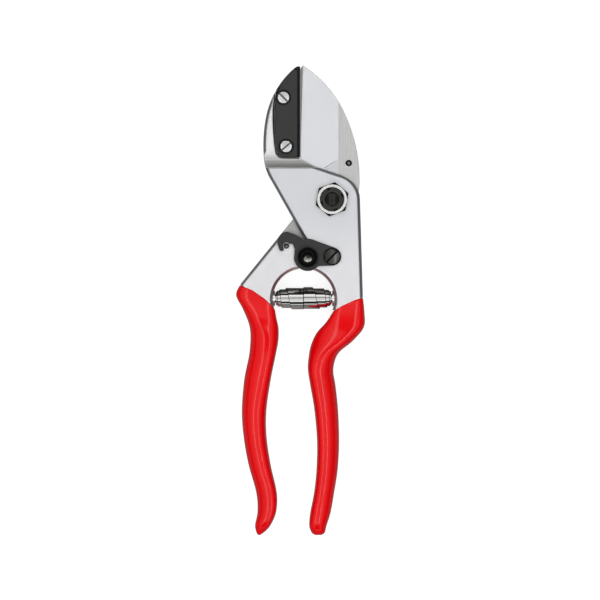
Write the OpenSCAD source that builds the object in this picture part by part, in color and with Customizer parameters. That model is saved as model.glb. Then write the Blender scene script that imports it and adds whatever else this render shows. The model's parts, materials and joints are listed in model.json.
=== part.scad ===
// One-hand anvil pruning shears, lying closed on their back.
// The pivot is the origin, the jaws point along +Y and the front faces +Z.

/* [Overall] */
// Pivot to the tip of the blade
jaw_reach = 60; // [54:1:74]
// Pivot to the ends of the grips
handle_reach = 150; // [125:1:182]
// Sideways distance from the pivot to the cutting edge
edge_offset = 14.1; // [12.5:0.1:15]

/* [Stack through the pivot] */
// Height of the pivot bolt's head, on which the shears lie
bolt_head_h = 3.5; // [2.9:0.1:4.5]
// Thickness of the blade handle's lap behind the blade
lap_t = 3.9; // [3.2:0.1:5]
// Thickness of the blade
blade_t = 3; // [2.4:0.1:3.8]
// Thickness of the front plate of the anvil handle
plate_t = 4.4; // [3.6:0.1:5.4]
// Gap between flat faces that slide on each other
slide_gap = 0.1; // [0.05:0.01:0.15]

/* [Pivot] */
// Diameter of the pivot bolt
bolt_d = 10; // [8:0.5:11]
// Diameter of the pivot bolt's head
bolt_head_d = 17; // [15:0.5:20]
// Radial clearance of the bolt in its bush
running_fit = 0.04; // [0.02:0.01:0.08]
// Wall of the bush
bush_wall = 1.2; // [1:0.1:2]
// Width of the nut across its flats
nut_af = 13.5; // [12.5:0.1:16]
// Height of the nut
nut_h = 4.8; // [4:0.1:6]
// Radius of the blade handle's eye round the pivot
eye_r = 11.2; // [10.5:0.1:11.6]

/* [Forged handles] */
// Width of the bevels along the edges of the forgings
edge_bevel = 1.2; // [0.6:0.1:1.6]
// Height of the back of the handles above the floor
back_z = 2; // [1:0.1:2.6]
// Drop from the front plate to the jaw arm
jaw_drop = 1.6; // [1:0.1:2.2]
// Height at which the recess above the front plate begins
recess_y = 14.1; // [13:0.1:15]
// Radius of the round window that holds the spring
window_r = 13.8; // [12:0.1:14.6]
// Radius of the arc at which the blade handle steps up from its lap
step_r = 26.2; // [25:0.1:28]

/* [Anvil] */
// Gap between the closed edge and the anvil
cut_gap = 0.1; // [0.05:0.05:0.4]
// Thickness of the anvil
anvil_t = 6.6; // [5.5:0.1:7]
// Floor of the anvil's pocket above the back of the handles
ledge_t = 4; // [3:0.1:4.6]
// Gap round the anvil in its pocket
pocket_gap = 0.8; // [0.3:0.1:1]
// Height of the lower end of the anvil
anvil_foot = 19; // [18.6:0.1:20]
// Diameter of the anvil screws' heads
anvil_head_d = 5.6; // [4.5:0.1:6]

/* [Blade] */
// Width of the ground bevel
bevel_w = 17; // [12:0.5:18]
// Thickness left at the cutting edge
edge_t = 0.5; // [0.3:0.1:0.8]

/* [Grips] */
// Wall of the dipped grips at their sides
grip_wall = 1.5; // [1.2:0.1:1.8]
// Depth of the grips at their fullest
grip_depth = 17; // [15.5:0.5:20]
// Thickness of the forged tangs inside the grips
tang_t = 9.2; // [6:0.1:9.6]

/* [Catch] */
// Thickness of the catch lever
catch_t = 3; // [2.4:0.1:4]
// Gap under the catch lever, filled by its wave washer
catch_gap = 0.3; // [0.3:0.05:0.6]
// Diameter of the catch screw's head
catch_head_d = 7.3; // [6.5:0.1:7.6]
// Diameter of the knurled knob
knob_d = 9.6; // [8:0.1:11]
// Height of the knurled knob
knob_h = 3; // [2:0.1:5]
// Diameter of the latch pin
pin_d = 2.2; // [1.8:0.1:2.6]

/* [Spring] */
// Largest outside diameter of the volute spring
spring_d = 10.2; // [8:0.1:11]
// Outside diameter of the spring's last turns
spring_end_d = 5.4; // [5:0.1:6.4]
// Thickness of the spring strip
strip_t = 0.45; // [0.3:0.05:0.5]
// Turns in each half of the spring
spring_turns = 4; // [3:0.5:4]

/* [Hidden] */

// Heights of the stack, from the floor up
washer_t = 0.5;
lap_z = bolt_head_h + washer_t + slide_gap;
blade_z = lap_z + lap_t;
plate_z = blade_z + blade_t + slide_gap;
top_z = plate_z + plate_t;
arm_top = top_z - 0.3;
jaw_top = top_z - jaw_drop;
ledge_z = back_z + ledge_t;
catch_z = top_z + catch_gap;
mid_z = (back_z + top_z) / 2;

bolt_r = bolt_d / 2;
bush_r = bolt_r + running_fit + bush_wall;
face_x = -edge_offset - cut_gap;

// Places across the front
window_c = [-12.7, -44.6];
blade_pin_at = [7.5, 16.3];
blade_pin_r = 1.4;
latch_at = [-20.4, -20.7];
catch_at = [0, -25.5];
knob_at = [-10.9, -25.9];
screw_upper_at = [-21.7, jaw_reach - 14.4];
screw_lower_at = [-20.5, 23.7];

bar_x = -8;
lap_edge = [[-1, -8], [-13.5, -22]];
plate_waist = [-12.6, -17.2];
plate_hip = [-9.9, -24];
plate_corner = [12.5, 0];

function across(v, w) = v[0] * w[1] - v[1] * w[0];

// Centre of the circle through three points
function centre_of(a, b, c) =
  let (
    d = 2 * (a[0] * (b[1] - c[1]) + b[0] * (c[1] - a[1]) + c[0] * (a[1] - b[1])),
    p = a * a * (b[1] - c[1]) + b * b * (c[1] - a[1]) + c * c * (a[1] - b[1]),
    q = a * a * (c[0] - b[0]) + b * b * (a[0] - c[0]) + c * c * (b[0] - a[0])
  ) [p / d, q / d];

// Points along the circular arc that runs from a through b to c
function arc(a, b, c, steps = 10) =
  let (
    m = centre_of(a, b, c),
    r = norm(a - m),
    start = atan2(a[1] - m[1], a[0] - m[0]),
    stop = atan2(c[1] - m[1], c[0] - m[0]),
    left = across(b - a, c - b) > 0,
    turn = left ? (stop < start ? stop + 360 : stop) - start : (stop > start ? stop - 360 : stop) - start
  ) [for (i = [0:steps]) m + r * [cos(start + turn * i / steps), sin(start + turn * i / steps)]];

// The point at height y on the left side of a circle
function left_of(c, r, y) = [c[0] - sqrt(r * r - pow(y - c[1], 2)), y];

// The point at x on the line through two points
function line_at_x(ab, x) = ab[0] + (ab[1] - ab[0]) * (x - ab[0][0]) / (ab[1][0] - ab[0][0]);

// The point where a line from p touches the left side of a circle above it
function tangent_from(p, c, r) =
  let (d = c - p, a = atan2(d[1], d[0]) + 180 - acos(r / norm(d))) c + r * [cos(a), sin(a)];

// Radius of the circle through p and q whose centre lies from p towards c
function radius_to(p, c, q) = let (d = q - p) (d * d) * norm(c - p) / (2 * (d * (c - p)));

// A smooth curve through a list of points of any kind
function curve(points, steps = 4) =
  let (n = len(points))
  concat(
    [
      for (i = [0:n - 2])
      let (
        p0 = points[max(i - 1, 0)],
        p1 = points[i],
        p2 = points[i + 1],
        p3 = points[min(i + 2, n - 1)]
      )
      for (k = [0:steps - 1])
      let (t = k / steps)
      (2 * p1 + (p2 - p0) * t + (2 * p0 - 5 * p1 + 4 * p2 - p3) * t * t
        + (3 * p1 - p0 - 3 * p2 + p3) * t * t * t) / 2
    ],
    [points[n - 1]]
  );

// A closed solid through rings of points, with flat ends
module loft(rings) {
  n = len(rings[0]);
  last = len(rings) - 1;
  polyhedron(
    points = [for (ring = rings) each ring],
    faces = concat(
      [[for (i = [0:n - 1]) i]],
      [
        for (k = [0:last - 1], i = [0:n - 1])
        let (a = k * n + i, b = k * n + (i + 1) % n)
        each [[a, a + n, b], [b, a + n, b + n]]
      ],
      [[for (i = [n - 1:-1:0]) last * n + i]]
    )
  );
}

// One level of a forging, from height z0 to height z1
module slab(z0, z1) {
  translate([0, 0, z0]) linear_extrude(z1 - z0) children();
}

// The corner that a bevel takes off, with the wall at x = 0 and the face at y = 0
module bevel_corner(flip) {
  out = 1;
  mirror([0, flip ? 1 : 0])
    polygon([[-edge_bevel - out, out], [out, -edge_bevel - out], [out, out]]);
}

// Bevels the straight edge from a to b, with the outside on its right, and runs out past both ends
module bevel_line(a, b, z, flip = false) {
  d = b - a;
  past = edge_bevel;
  translate([a[0], a[1], z])
    rotate(atan2(d[1], d[0]) - 90)
      translate([0, norm(d) + past, 0])
        rotate([90, 0, 0])
          linear_extrude(norm(d) + 2 * past) bevel_corner(flip);
}

// Bevels an edge that runs round a centre, between two angles
module bevel_round(c, r, z, from, to, flip = false, inside = false) {
  translate([c[0], c[1], z])
    rotate(from)
      rotate_extrude(angle = to - from, $fn = 96)
        translate([r, 0])
          mirror([inside ? 1 : 0, 0]) bevel_corner(flip);
}

function angle_of(p, c) = let (a = atan2(p[1] - c[1], p[0] - c[0])) a < 0 ? a + 360 : a;

module hole(at, r, z0, z1) {
  translate([at[0], at[1], z0]) cylinder(r = r, h = z1 - z0, $fn = 48);
}

// A slotted screw with its head's top at z = 0
module slotted_screw(head_r, head_h, shank_r, length, slot_w, slot_turn) {
  difference() {
    union() {
      translate([0, 0, -head_h]) cylinder(r = head_r, h = head_h - 0.3, $fn = 48);
      translate([0, 0, -0.3]) cylinder(r1 = head_r, r2 = head_r - 0.3, h = 0.3, $fn = 48);
      translate([0, 0, -length]) cylinder(r = shank_r, h = length, $fn = 48);
    }
    rotate(slot_turn)
      translate([-head_r - 1, -slot_w / 2, -0.9])
        cube([2 * head_r + 2, slot_w, 2]);
  }
}

// ---- Grips ----

// How far the left and right edges of each tang reach up into its arm
left_reach = [[3.1, 3.9], [0, 4]];
right_reach = [[0, 4], [0, 4]];

// Share of a grip's half width by which its crest leans to the right
left_lean = 0.18;
right_lean = -0.12;

// Each station is: share of the grip's length, left x, right x, rise of the right side, depth share
grip_top = 44;
left_stations = [
  [0.00, -41.0, -25.8, -12.2, 0.80],
  [0.04, -42.9, -24.9, -11.0, 0.84],
  [0.09, -39.7, -23.9, -8.5, 0.90],
  [0.155, -36.7, -24.0, -5.5, 0.96],
  [0.24, -36.9, -25.4, -2.5, 1.00],
  [0.34, -39.2, -27.3, 0.0, 1.00],
  [0.47, -40.3, -29.3, 0.0, 1.00],
  [0.58, -39.6, -29.3, 0.0, 0.97],
  [0.70, -37.4, -27.5, 0.0, 0.92],
  [0.82, -33.9, -24.7, 0.0, 0.84],
  [0.90, -33.3, -24.9, 0.0, 0.74],
  [0.955, -34.4, -27.1, 0.5, 0.58],
  [0.985, -33.8, -29.3, 1.0, 0.34],
  [1.00, -33.0, -32.0, 0.0, 0.12],
];
right_stations = [
  [0.025, 0.9, 13.8, 5.8, 0.80],
  [0.08, -2.6, 14.5, 4.6, 0.85],
  [0.135, -6.9, 14.3, 2.6, 0.91],
  [0.19, -9.4, 9.3, 1.8, 0.97],
  [0.24, -10.4, 2.8, 1.2, 1.00],
  [0.30, -10.8, 0.6, 0.0, 1.00],
  [0.37, -9.7, 1.6, 0.0, 1.00],
  [0.47, -7.9, 2.7, 0.0, 1.00],
  [0.60, -6.7, 3.2, 0.0, 0.97],
  [0.72, -6.9, 2.6, 0.0, 0.92],
  [0.82, -8.0, 1.0, 0.0, 0.86],
  [0.905, -9.7, -0.6, 0.0, 0.76],
  [0.96, -10.2, -2.4, 0.0, 0.62],
  [0.99, -9.1, -3.2, 0.0, 0.40],
  [1.00, -7.6, -4.7, 0.0, 0.20],
];

function station_y(s) = -grip_top - (handle_reach - grip_top) * s[0];
function left_side(s) = [s[1], station_y(s) - s[3] / 2];
function right_side(s) = [s[2], station_y(s) + s[3] / 2];

// One section of a grip: a rounded oblong that stands on edge
function grip_ring(s, lean, points = 20, squareness = 2.8) =
  let (
    a = left_side(s),
    b = right_side(s),
    c = (a + b) / 2,
    half = (b - a) / 2,
    deep = grip_depth * s[4] / 2,
    lift = grip_depth / 2
  )
  [
    for (i = [0:points - 1])
    let (
      u = cos(360 * (i + 0.5) / points),
      v = sin(360 * (i + 0.5) / points),
      across_share = sign(u) * pow(abs(u), 2 / squareness),
      deep_share = sign(v) * pow(abs(v), 2 / squareness),
      p = c + half * (across_share + lean * (1 - pow(u, 2)))
    )
    [p[0], p[1], lift + deep * deep_share]
  ];

module grip_form(stations, lean) {
  loft([for (s = curve(stations, 3)) grip_ring(s, lean)]);
}

// The forged tang inside a grip, a wall thinner all round, and reaching up into the arm
module tang_outline(stations, reach) {
  inner = curve([for (i = [0:len(stations) - 5]) stations[i]], 2);
  function inset(s) = let (d = right_side(s) - left_side(s)) grip_wall * d / norm(d);
  first = inner[0];
  polygon(concat(
    [left_side(first) + inset(first) + reach[0]],
    [for (s = inner) left_side(s) + inset(s)],
    [for (i = [len(inner) - 1:-1:0]) right_side(inner[i]) - inset(inner[i])],
    [right_side(first) - inset(first) + reach[1]]
  ));
}

// ---- Anvil handle: jaw arm, front plate and right-hand handle ----

// Where the front plate's edge crosses over the blade
blade_line = [[-15.2, 18.2], [-7.4, 14.6], [4.6, 10.7]];
plate_round = arc([5.2, 10.4], [9.6, 7.3], [12.3, 2.2], 6);
plate_rim = concat([blade_line[1]], plate_round, [plate_corner]);
right_mouth = [left_side(right_stations[0]), right_side(right_stations[0])];

// The jaw's back is three arcs that run smoothly into each other and then into the flank
turn_c = [-10, 19.8];
turn_r = 20.5;
turn_end = 185.5;
jaw_flank = tangent_from(plate_waist, turn_c, turn_r);
jaw_turn = turn_c + turn_r * [cos(turn_end), sin(turn_end)];
jaw_h = jaw_reach - jaw_turn[1];
back_r = pow(jaw_h, 2) / 26.6;
back_c = jaw_turn + back_r / turn_r * (turn_c - jaw_turn);
jaw_shoulder = left_of(back_c, back_r, jaw_reach - 0.555 * jaw_h);
jaw_inner_x = face_x - 0.3;
nose_r = radius_to(jaw_shoulder, back_c, [jaw_inner_x - 2.2, jaw_reach - 1.2]);
nose_c = jaw_shoulder + nose_r / back_r * (back_c - jaw_shoulder);
function nose_at(drop) = left_of(nose_c, nose_r, jaw_reach - drop);

module band(y0, y1, x1) {
  translate([-3 * turn_r, y0]) square([3 * turn_r + x1, y1 - y0]);
}

// The jaw's three lengths, each a slab of its own: foot, middle and nose
module jaw_slabs(z0, z1) {
  slab(z0, z1) intersection() {
    translate(turn_c) circle(r = turn_r, $fn = 96);
    band(jaw_flank[1], jaw_turn[1], jaw_inner_x);
  }
  slab(z0, z1) intersection() {
    translate(back_c) circle(r = back_r, $fn = 96);
    band(jaw_turn[1], jaw_shoulder[1], jaw_inner_x);
  }
  slab(z0, z1) intersection() {
    translate(nose_c) circle(r = nose_r, $fn = 96);
    band(jaw_shoulder[1], jaw_reach - 6, jaw_inner_x);
    polygon([
      jaw_shoulder - [nose_r, 0], jaw_shoulder + [nose_r, 0],
      [jaw_inner_x, jaw_reach - 6], nose_at(8), nose_at(8) - [nose_r, 0],
    ]);
  }
}

module plate_outline() {
  difference() {
    polygon(concat(
      blade_line,
      plate_round,
      [plate_corner, right_mouth[1], right_mouth[0], window_c, plate_hip, plate_waist, jaw_flank]
    ));
    window();
  }
}

module window() {
  translate(window_c) circle(r = window_r, $fn = 96);
}

// The room behind the front plate for the blade and the blade handle's lap
module lap_room() {
  bar_edge = [for (p = lap_edge) p + [1, -1]];
  slab(back_z - 1, plate_z)
    polygon([
      [bar_x, window_c[1]], [-50, window_c[1]], [-50, jaw_flank[1]], [jaw_inner_x, jaw_flank[1]],
      [jaw_inner_x, jaw_reach], [50, jaw_reach], [50, -3], bar_edge[0], line_at_x(bar_edge, bar_x),
    ]);
  hole([0, 0], eye_r + 3, back_z - 1, plate_z);
}

module tang(stations, reach) {
  slab((grip_depth - tang_t) / 2, (grip_depth + tang_t) / 2) tang_outline(stations, reach);
}

// The bevels along the forging's edges, each an arc or a line:
// [centre, radius, from, to, height, on the back, round a hole] or [start, end, height, on the back]
function jaw_bevels(z, back, end) = [
  [nose_c, nose_r, 100, angle_of(jaw_shoulder, nose_c), z, back, false],
  [back_c, back_r, angle_of(jaw_shoulder, back_c), angle_of(jaw_turn, back_c), z, back, false],
  [turn_c, turn_r, angle_of(jaw_turn, turn_c), angle_of(end, turn_c), z, back, false],
];
function side_bevels(z, back) = [
  [window_c, window_r, -40, 80, z, back, true],
  [right_mouth[1], plate_corner, z, back],
];
// where the jaw's flank meets the plate's step
jaw_step = left_of(turn_c, turn_r, recess_y);
plate_bevels = concat(
  jaw_bevels(back_z, true, jaw_flank),
  jaw_bevels(jaw_top, false, left_of(turn_c, turn_r, recess_y + 0.3)),
  [[turn_c, turn_r, angle_of(jaw_step, turn_c), angle_of(jaw_flank, turn_c), top_z, false, false]],
  [[jaw_flank, plate_waist, top_z, false]],
  [for (i = [1:len(plate_rim) - 1]) [plate_rim[i], plate_rim[i - 1], top_z, false]],
  side_bevels(back_z, true),
  side_bevels(top_z, false)
);

// Each arc's cut runs on past its ends by this many degrees, into the next cut
arc_past = 1;

// The front plate and its lower jaw arm, with the first n bevels cut one after another
module bevelled_plate(n = len(plate_bevels)) {
  if (n == 0) {
    difference() {
      union() {
        slab(back_z, top_z) plate_outline();
        jaw_slabs(back_z, top_z);
      }
      translate([-50, recess_y, jaw_top]) cube([100, 100, top_z]);
    }
  } else {
    b = plate_bevels[n - 1];
    difference() {
      bevelled_plate(n - 1);
      if (len(b) == 4) bevel_line(b[0], b[1], b[2], b[3]);
      else bevel_round(b[0], b[1], b[4], b[2] - arc_past, b[3] + arc_past, b[5], b[6]);
    }
  }
}

module anvil_handle() {
  scoop_r = 12;
  scoop_lip = 0.4;
  scoop_depth = 2.2;
  color("gainsboro")
    difference() {
      union() {
        bevelled_plate();
        tang(right_stations, right_reach);
      }
      // the scoop at the jaw arm's foot
      intersection() {
        translate([-50, recess_y, ledge_z]) cube([50, scoop_r, top_z]);
        translate([-50, recess_y + scoop_lip, jaw_top - scoop_depth + scoop_r])
          rotate([0, 90, 0]) cylinder(r = scoop_r, h = 50, $fn = 96);
      }
      lap_room();
      // the anvil's pocket, its screw holes and the pivot's bore
      slab(ledge_z, top_z + 1) offset(r = pocket_gap, $fn = 32) anvil_outline();
      hole(screw_upper_at, anvil_screw_r, back_z - 1, top_z);
      hole(screw_lower_at, anvil_screw_r, back_z - 1, top_z);
      hole([0, 0], bolt_r, plate_z - 1, top_z + 1);
      hole(catch_at, catch_shank_r, back_z + 2, top_z + 1);
      spring_seat(right_seat_x, 1);
    }
}

module anvil_handle_grip() {
  color("red")
    difference() {
      grip_form(right_stations, right_lean);
      tang(right_stations, right_reach);
    }
}

// ---- Anvil ----

anvil_screw_r = 1.9;

module anvil_outline() {
  crown = nose_at(11);
  back_low = [-24.5, anvil_foot + 2.6];
  polygon(concat(
    [[face_x, anvil_foot]],
    arc([-21.9, anvil_foot], [-23.7, anvil_foot + 0.8], back_low, 5),
    arc(back_low, [-25.5, anvil_foot + 14], crown, 8),
    arc(crown, nose_at(6), nose_at(1.2), 8),
    [[face_x - 1.6, jaw_reach - 0.5], [face_x, jaw_reach - 0.4]]
  ));
}

module anvil() {
  seat_r = anvil_head_d / 2 + 0.55;
  bevel = 1.3;
  nose = 2.2;
  top = ledge_z + anvil_t;
  color("dimgray")
    difference() {
      translate([0, 0, ledge_z]) linear_extrude(anvil_t) anvil_outline();
      // bevel along the front of the cutting face
      translate([face_x, 0, top - bevel])
        rotate([0, -45, 0]) cube([4, 2 * jaw_reach, 4]);
      // the nose falls away to its tip
      translate([face_x - 10, jaw_reach - nose, top])
        rotate([-50, 0, 0]) cube([20, 8, 6]);
      for (at = [screw_upper_at, screw_lower_at]) {
        hole(at, anvil_screw_r, ledge_z - 1, top);
        hole(at, seat_r, top - anvil_head_h - 0.3, top + 1);
      }
    }
}

anvil_head_h = 2;

module anvil_screw(at, slot_turn) {
  color("silver")
    translate([at[0], at[1], ledge_z + anvil_t - 0.3])
      slotted_screw(anvil_head_d / 2, anvil_head_h, anvil_screw_r, anvil_t + ledge_t - 1, 0.7, slot_turn);
}

module anvil_screw_upper() {
  anvil_screw(screw_upper_at, -45);
}

module anvil_screw_lower() {
  anvil_screw(screw_lower_at, 40);
}

// ---- Pivot ----

// Socket in the bolt's end, and how far that end lies below the top of the nut
socket_r = 3.2;
bolt_sink = 1.6;
ring_r = bolt_r + 0.4;

module pivot_bolt() {
  end_z = top_z + nut_h - bolt_sink;
  rim = 0.8;
  color("dimgray")
    difference() {
      union() {
        cylinder(r1 = bolt_head_d / 2 - rim, r2 = bolt_head_d / 2, h = rim, $fn = 64);
        translate([0, 0, rim]) cylinder(r = bolt_head_d / 2, h = bolt_head_h - rim, $fn = 64);
        cylinder(r = bolt_r, h = end_z, $fn = 64);
      }
      translate([0, 0, end_z - 2.5]) cylinder(r = socket_r, h = 3, $fn = 48);
    }
}

module thrust_washer() {
  color("silver")
    translate([0, 0, bolt_head_h])
      difference() {
        cylinder(r = bolt_head_d / 2 - 0.3, h = washer_t, $fn = 64);
        translate([0, 0, -1]) cylinder(r = bolt_r, h = washer_t + 2, $fn = 64);
      }
}

module pivot_bush() {
  color("silver")
    translate([0, 0, lap_z])
      difference() {
        cylinder(r = bush_r, h = lap_t + blade_t, $fn = 64);
        translate([0, 0, -1]) cylinder(r = bolt_r + running_fit, h = lap_t + blade_t + 2, $fn = 64);
      }
}

module pivot_nut() {
  corner_r = nut_af / 2 / cos(30);
  chamfer = 0.7;
  color("silver")
    translate([0, 0, top_z])
      difference() {
        intersection() {
          rotate(20) cylinder(r = corner_r, h = nut_h, $fn = 6);
          union() {
            cylinder(r = corner_r + 0.1, h = nut_h - chamfer, $fn = 64);
            translate([0, 0, nut_h - chamfer])
              cylinder(r1 = corner_r + 0.1, r2 = nut_af / 2 - 0.15, h = chamfer, $fn = 64);
          }
        }
        translate([0, 0, -1]) cylinder(r = bolt_r, h = nut_h + 2, $fn = 64);
        translate([0, 0, nut_h - bolt_sink]) cylinder(r = ring_r + running_fit, h = 3, $fn = 64);
      }
}

// A blackened ring locks the nut, with notches for its pin spanner
module nut_lock_ring() {
  notches = 4;
  ring_t = 1.2;
  color("black")
    translate([0, 0, top_z + nut_h - bolt_sink])
      difference() {
        cylinder(r = ring_r, h = ring_t, $fn = 64);
        translate([0, 0, -1]) cylinder(r = socket_r, h = 3, $fn = 48);
        for (i = [0:notches - 1])
          rotate(20 + 360 * i / notches)
            translate([ring_r - 1, -0.8, 0.5]) cube([2, 1.6, 2]);
      }
}

// ---- Blade handle: lap behind the blade and left-hand handle ----

left_mouth = [left_side(left_stations[0]), right_side(left_stations[0])];
arm_root = [-7, 4];

module arm_outline() {
  difference() {
    polygon([arm_root, left_mouth[0], left_mouth[1], window_c, [-14.9, -30], lap_edge[1], lap_edge[0]]);
    window();
  }
}

module lap_outline() {
  intersection() {
    union() {
      circle(r = eye_r, $fn = 64);
      hull() {
        circle(r = eye_r - 3, $fn = 32);
        translate(blade_pin_at) circle(r = 4, $fn = 32);
      }
      arm_outline();
    }
    circle(r = step_r + 3, $fn = 64);
  }
}

module blade_handle() {
  color("gainsboro")
    difference() {
      union() {
        slab(lap_z, blade_z) lap_outline();
        slab(back_z, arm_top)
          difference() {
            arm_outline();
            circle(r = step_r, $fn = 64);
          }
        tang(left_stations, left_reach);
      }
      for (back = [false, true]) {
        z = back ? back_z : arm_top;
        bevel_line(arm_root, left_mouth[0], z, back);
        bevel_round(window_c, window_r, z, 90, 220, back, true);
      }
      hole([0, 0], bush_r, back_z - 1, top_z);
      hole(blade_pin_at, blade_pin_r, back_z - 1, top_z);
      hole(latch_at, pin_d / 2, arm_top - 6, top_z);
      spring_seat(left_seat_x, -1);
    }
}

module blade_handle_grip() {
  color("red")
    difference() {
      grip_form(left_stations, left_lean);
      tang(left_stations, left_reach);
    }
}

module latch_pin() {
  color("silver")
    translate([latch_at[0], latch_at[1], arm_top - 6]) {
      cylinder(r = pin_d / 2, h = 6, $fn = 48);
      translate([0, 0, 6]) cylinder(r1 = pin_d / 2, r2 = pin_d / 2 - 0.2, h = 0.2, $fn = 48);
    }
}

// ---- Blade ----

blade_tip = [-13, jaw_reach + 0.1];
blade_bow = [6.3, jaw_reach - 22.8];
blade_heel = [12.3, 7];
grind_x = -edge_offset + bevel_w;
hone_w = 1.1;
hone_slope = 12;

module blade_outline() {
  polygon(concat(
    [[-edge_offset, 18.8], [-edge_offset, jaw_reach - 1.5]],
    arc(blade_tip, [-2.5, jaw_reach - 8.9], blade_bow, 12),
    arc(blade_bow, [10.7, 23.9], blade_heel, 8),
    arc([11.6, 0], [0, -eye_r], [-10.4, 4], 16)
  ));
}

// The wedge that grinding takes off one face, from the grind line to the edge
module grind(side) {
  slope = atan((blade_t - edge_t) / 2 / bevel_w);
  mirror([0, 0, side < 0 ? 1 : 0])
    translate([0, 0, blade_t / 2])
      intersection() {
        translate([grind_x, 0, 0])
          rotate([0, -slope, 0])
            translate([-2 * bevel_w, 0, 0]) cube([2 * bevel_w, 2 * jaw_reach, blade_t]);
        translate([0, 0, -blade_t])
          linear_extrude(3 * blade_t)
            polygon([
              [grind_x + 5, 17.9 + 3], [grind_x, 17.9], [grind_x - 5.2, 14.8], [-2 * bevel_w, -5],
              [-2 * bevel_w, 2 * jaw_reach], [grind_x + 5, 2 * jaw_reach],
            ]);
      }
}

// The narrow honed facet along the edge: hone_w wide at the tip, and it dies out at the foot
module hone(side) {
  foot = anvil_foot + 1;
  mirror([0, 0, side < 0 ? 1 : 0])
    translate([-edge_offset, foot, edge_t / 2])
      rotate(-atan(hone_w / (jaw_reach - foot)))
        rotate([0, -hone_slope, 0])
          translate([-4, -3, 0]) cube([4, 2 * jaw_reach, blade_t]);
}

module cutting_blade() {
  color("lightgray")
    translate([0, 0, blade_z])
      difference() {
        linear_extrude(blade_t) blade_outline();
        translate([0, 0, blade_t / 2]) {
          grind(1);
          grind(-1);
          hone(1);
          hone(-1);
        }
        hole([0, 0], bush_r, -1, blade_t + 1);
        hole(blade_pin_at, blade_pin_r, -1, blade_t + 1);
      }
}

module blade_pin() {
  color("silver")
    translate([blade_pin_at[0], blade_pin_at[1], lap_z]) {
      cylinder(r = blade_pin_r, h = lap_t + blade_t - 1.2, $fn = 48);
      cylinder(r = 0.6, h = lap_t + blade_t - 0.5, $fn = 48);
    }
}

// ---- Spring ----

seat_r = 3.4;
stud_r = 2;
seat_t = 1;
left_wall_x = window_c[0] - window_r;
right_wall_x = window_c[0] + window_r;
left_seat_x = left_wall_x + 0.6;
right_seat_x = right_wall_x - 0.6;
spring_half = (right_seat_x - left_seat_x) / 2 - seat_t * 0.6;
spring_c = [(left_seat_x + right_seat_x) / 2, window_c[1] + 0.4, mid_z];

// A flanged stud pressed into the wall of the window; side is the way into the handle
module spring_seat(x, side) {
  translate([x, spring_c[1], mid_z])
    rotate([0, 90 * side, 0]) {
      translate([0, 0, -0.4]) cylinder(r = seat_r, h = seat_t + 0.4, $fn = 48);
      translate([0, 0, -3]) cylinder(r = stud_r, h = 8, $fn = 48);
    }
}

module spring_seat_left() {
  color("silver") spring_seat(left_seat_x, -1);
}

module spring_seat_right() {
  color("silver") spring_seat(right_seat_x, 1);
}

// Outer and inner edge of the strip, measured from the middle of the spring, at t turns
band_half = 2.6;
band_gap = 0.15;
strip_w = 9;
wind = 1.15;
function strip_out(t) =
  band_half + (spring_half - band_half) * (1 - exp(-t / wind)) / (1 - exp(-spring_turns / wind));
function strip_in(t) =
  t < 0.12 ? -band_half + (band_half + band_gap) * t / 0.12 : max(band_gap, strip_out(t) - strip_w);

// One section of the strip; t runs from minus to plus spring_turns, widest at the middle
function strip_ring(t) =
  let (
    s = abs(t),
    r = spring_d / 2 - (spring_d - spring_end_d) / 2 * s / spring_turns,
    out = strip_out(s),
    inner = strip_in(s),
    lo = t < 0 ? -out : inner,
    hi = t < 0 ? -inner : out,
    a = 360 * t - 60,
    dir = [0, cos(a), sin(a)]
  )
  [
    spring_c + [lo, 0, 0] + r * dir,
    spring_c + [hi, 0, 0] + r * dir,
    spring_c + [hi, 0, 0] + (r - strip_t) * dir,
    spring_c + [lo, 0, 0] + (r - strip_t) * dir,
  ];

module return_spring() {
  rings_per_turn = 20;
  last = spring_turns * rings_per_turn;
  color("lightgray") loft([for (i = [-last:last]) strip_ring(i / rings_per_turn)]);
}

// ---- Catch ----

catch_shank_r = 2;
catch_bush_r = 2.8;
catch_head_h = 1.4;
rivet_r = 1.2;

module catch_outline() {
  notch_r = pin_d / 2 + 0.35;
  difference() {
    union() {
      hull() {
        translate(catch_at) circle(r = 4.1, $fn = 48);
        translate(knob_at + [0.3, 2.1]) circle(r = 6.2, $fn = 48);
      }
      translate(knob_at) circle(r = 6.1, $fn = 64);
      polygon(concat(
        arc([-13, -17.6], [-16.6, -15.6], [-20.4, -14.4], 6),
        arc([-20.6, -14.4], [-24, -17.1], [-23.9, -21.2], 8),
        arc([-23.7, -21.8], [-22.3, -23.1], [-21.3, -22], 4),
        [[-18.8, -19.8]],
        arc([-17.6, -19.8], [-16.7, -22.2], [-16.8, -26], 5),
        [knob_at]
      ));
    }
    hull() {
      translate(latch_at) circle(r = notch_r, $fn = 32);
      translate(latch_at + [1.4, -4]) circle(r = notch_r, $fn = 32);
    }
  }
}

module catch_lever() {
  sink_z = catch_z + catch_t - catch_head_h - 0.1;
  color("dimgray")
    difference() {
      translate([0, 0, catch_z]) linear_extrude(catch_t) catch_outline();
      hole(catch_at, catch_bush_r + running_fit, catch_z - 1, catch_z + catch_t + 1);
      hole(catch_at, catch_head_d / 2 + 0.2, sink_z, catch_z + catch_t + 1);
      hole(catch_at - [0.6, 0], catch_head_d / 2 + 0.1, sink_z, catch_z + catch_t + 1);
      hole(knob_at, rivet_r, catch_z - 1, catch_z + catch_t + 1);
    }
}

module catch_bush() {
  color("silver")
    difference() {
      hole(catch_at, catch_bush_r, top_z, catch_z + catch_t - catch_head_h - 0.1);
      hole(catch_at, catch_shank_r, top_z - 1, catch_z + catch_t);
    }
}

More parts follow.
